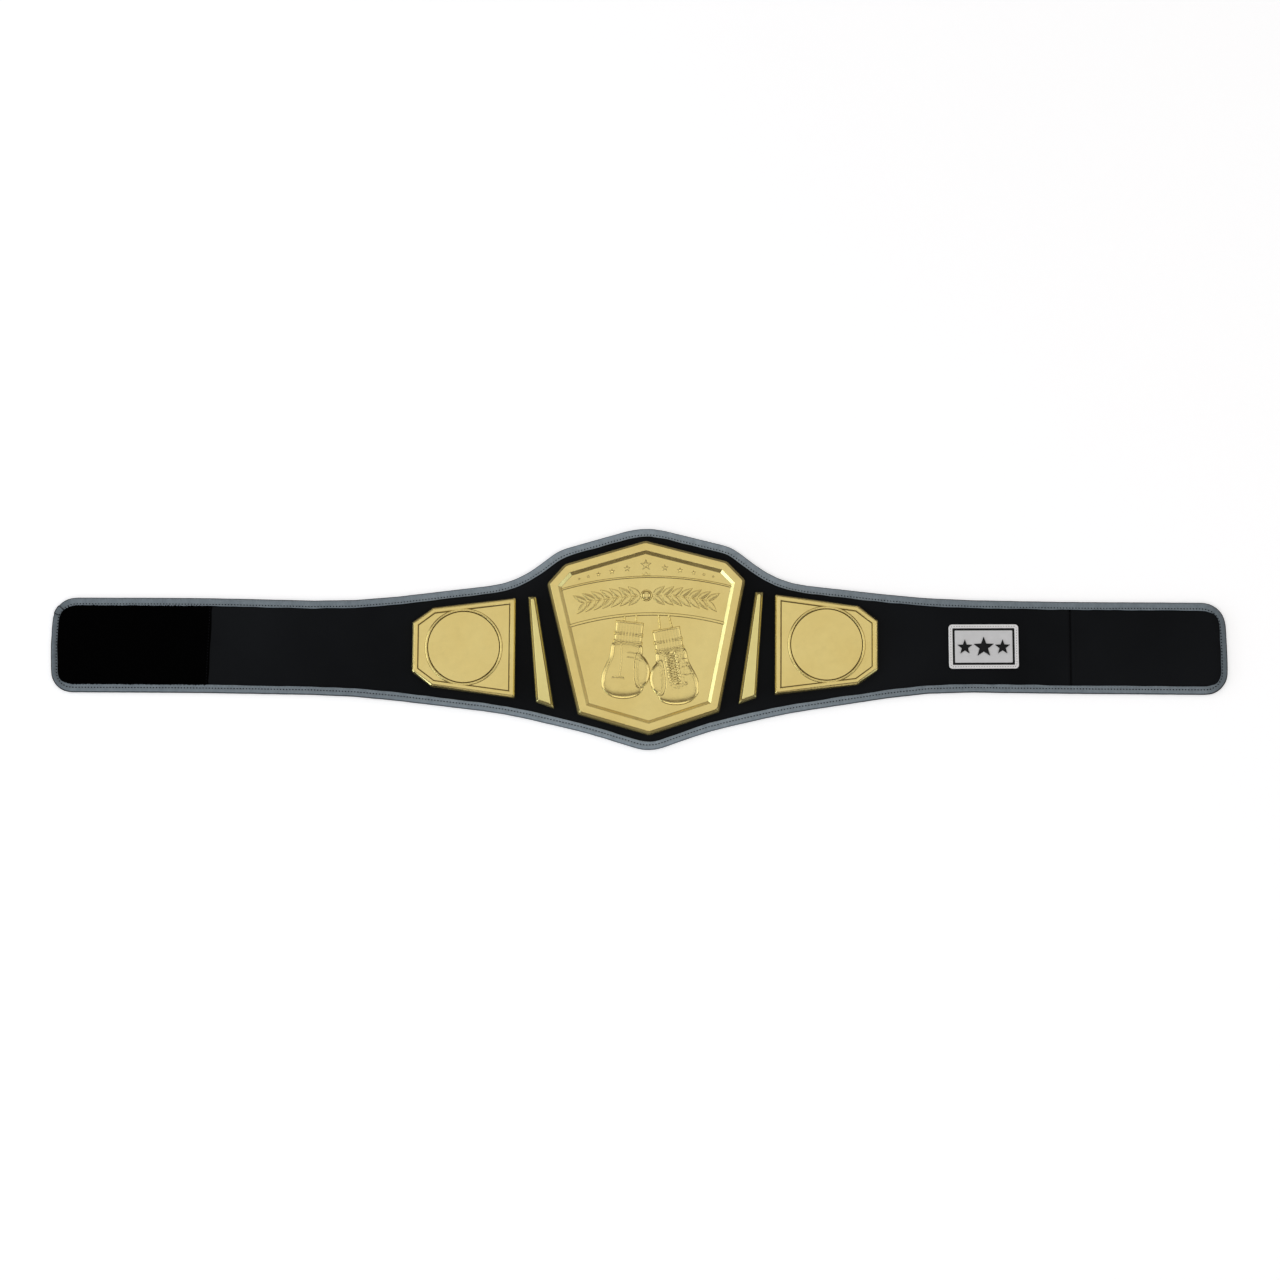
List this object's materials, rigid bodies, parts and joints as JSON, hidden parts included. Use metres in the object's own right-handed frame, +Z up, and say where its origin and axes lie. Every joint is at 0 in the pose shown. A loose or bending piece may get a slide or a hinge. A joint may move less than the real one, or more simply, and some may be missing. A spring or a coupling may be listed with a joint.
{
  "type": "championship title belt",
  "caption": "Padded fabric championship belt laid open, with a bound edge, raised gold plates on its front, a sewn label, and hook and loop ends that fasten round a waist.",
  "frame": {"origin": "under the middle of the whole belt, on the surface that it lies on", "axes": "+X along the strap from the loop end to the hook end, +Y up the belt towards the peak of the main plate, +Z up out of the belt's front"},
  "size_m": [1.2186, 0.2316, 0.0149],
  "materials": {
    "strap_fabric": "black knitted jersey over foam, matt",
    "binding_tape": "grey woven tape, folded over the edge and sewn",
    "loop_pile": "deep black brushed loop pile",
    "hook_tape": "black nylon hook tape",
    "gold": "moulded and gold plated, satin bright",
    "label_silver": "silver grey soft rubber",
    "label_black": "black soft rubber"
  },
  "bodies": {
    "root": {"strap_body": "strap_fabric", "edge_binding": "binding_tape", "loop_panel": "loop_pile", "hook_panel": "hook_tape", "main_plate": "gold", "wedge_bar_right": "gold", "wedge_bar_left": "gold", "side_plate_right": "gold", "side_plate_left": "gold", "label_backing": "label_black", "label_border": "label_silver", "label_field": "label_silver", "label_star_left": "label_black", "label_star_middle": "label_black", "label_star_right": "label_black"}
  },
  "joints": []
}
